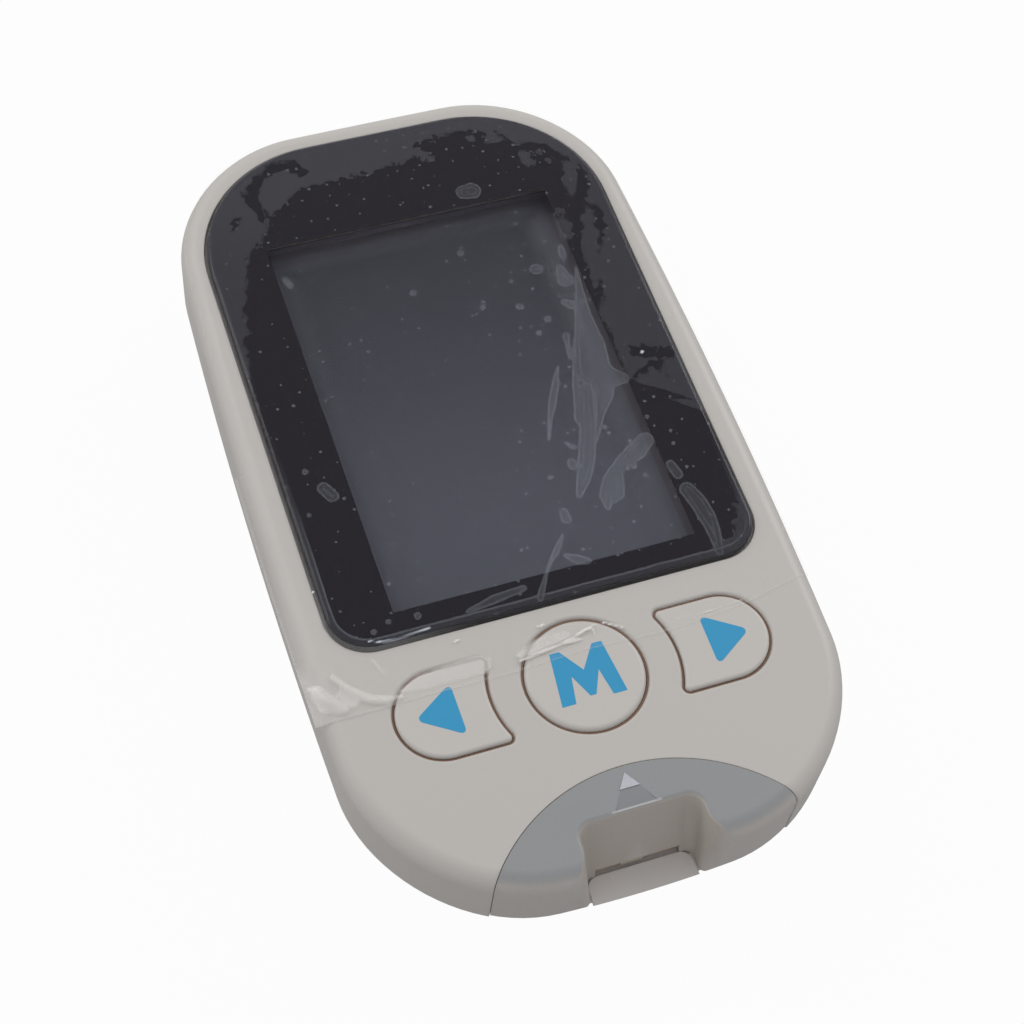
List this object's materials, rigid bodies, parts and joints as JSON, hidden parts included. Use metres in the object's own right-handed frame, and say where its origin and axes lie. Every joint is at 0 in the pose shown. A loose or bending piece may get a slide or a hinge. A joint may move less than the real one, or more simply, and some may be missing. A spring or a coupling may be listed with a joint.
{
  "type": "multiparameter blood meter",
  "caption": "Hand-held blood meter with a black-bordered window over a grey display, a round key between side keys, a frosted strip port at one end and a sliding battery door on its back.",
  "frame": {"origin": "centre of the rectangle that the meter covers, on the surface its back lies on", "axes": "+X to the right of the display, +Y towards the top of the display, +Z out of the display"},
  "size_m": [0.0552, 0.0993, 0.0205],
  "materials": {
    "casing_plastic": "fine satin moulded plastic, warm ivory grey",
    "key_plastic": "satin moulded plastic with printed blue marks",
    "frosted_plastic": "frosted translucent plastic",
    "window": "clear acrylic with a black printed border",
    "display": "grey liquid crystal glass, unlit",
    "white_plastic": "white moulded plastic",
    "black_plastic": "black moulded plastic",
    "tape": "black foam adhesive tape",
    "silicone": "pale silicone rubber",
    "dark_rubber": "dark conductive rubber",
    "board": "green solder mask over glass fibre board",
    "spring_metal": "nickel plated spring strip",
    "screw_steel": "zinc plated steel",
    "cell_jacket": "printed cell jacket, two plain colours",
    "clear_film": "clear protective film with trapped bubbles"
  },
  "bodies": {
    "root": {"front_casing": "casing_plastic", "rear_casing": "casing_plastic", "window_lens": "window", "lens_tape": "tape", "lcd_panel": "display", "lcd_reflector": "white_plastic", "lcd_frame": "white_plastic", "lcd_connector": "dark_rubber", "keypad_mat": "silicone", "strip_port_cover": "frosted_plastic", "main_board": "board", "strip_connector": "black_plastic", "buzzer": "black_plastic", "contact_bridge": "spring_metal", "contact_negative": "spring_metal", "contact_positive": "spring_metal", "screen_film": "clear_film", "processor_chip": "black_plastic", "amplifier_chip": "black_plastic", "memory_chip": "black_plastic", "battery_1": "cell_jacket", "battery_2": "cell_jacket", "strip_contact_1": "spring_metal", "case_screw_1": "screw_steel", "strip_contact_2": "spring_metal", "case_screw_2": "screw_steel", "strip_contact_3": "spring_metal", "case_screw_3": "screw_steel", "strip_contact_4": "spring_metal", "case_screw_4": "screw_steel", "board_screw_1": "screw_steel", "board_screw_2": "screw_steel"},
    "menu_key": {"menu_button": "key_plastic"},
    "left_key": {"left_button": "key_plastic"},
    "right_key": {"right_button": "key_plastic"},
    "door": {"battery_door": "casing_plastic"}
  },
  "joints": [
    {"name": "menu_press", "type": "slide", "parent": "root", "child": "menu_key", "axis": [0, 0, -1], "range_m": [0, 0.0008], "stiffness_N_per_m": 150, "deforming": ["keypad_mat"]},
    {"name": "left_press", "type": "slide", "parent": "root", "child": "left_key", "axis": [0, 0, -1], "range_m": [0, 0.0008], "stiffness_N_per_m": 150, "deforming": ["keypad_mat"]},
    {"name": "right_press", "type": "slide", "parent": "root", "child": "right_key", "axis": [0, 0, -1], "range_m": [0, 0.0008], "stiffness_N_per_m": 150, "deforming": ["keypad_mat"]},
    {"name": "door_slide", "type": "slide", "parent": "root", "child": "door", "axis": [0, 1, 0], "range_m": [0, 0.007]}
  ]
}
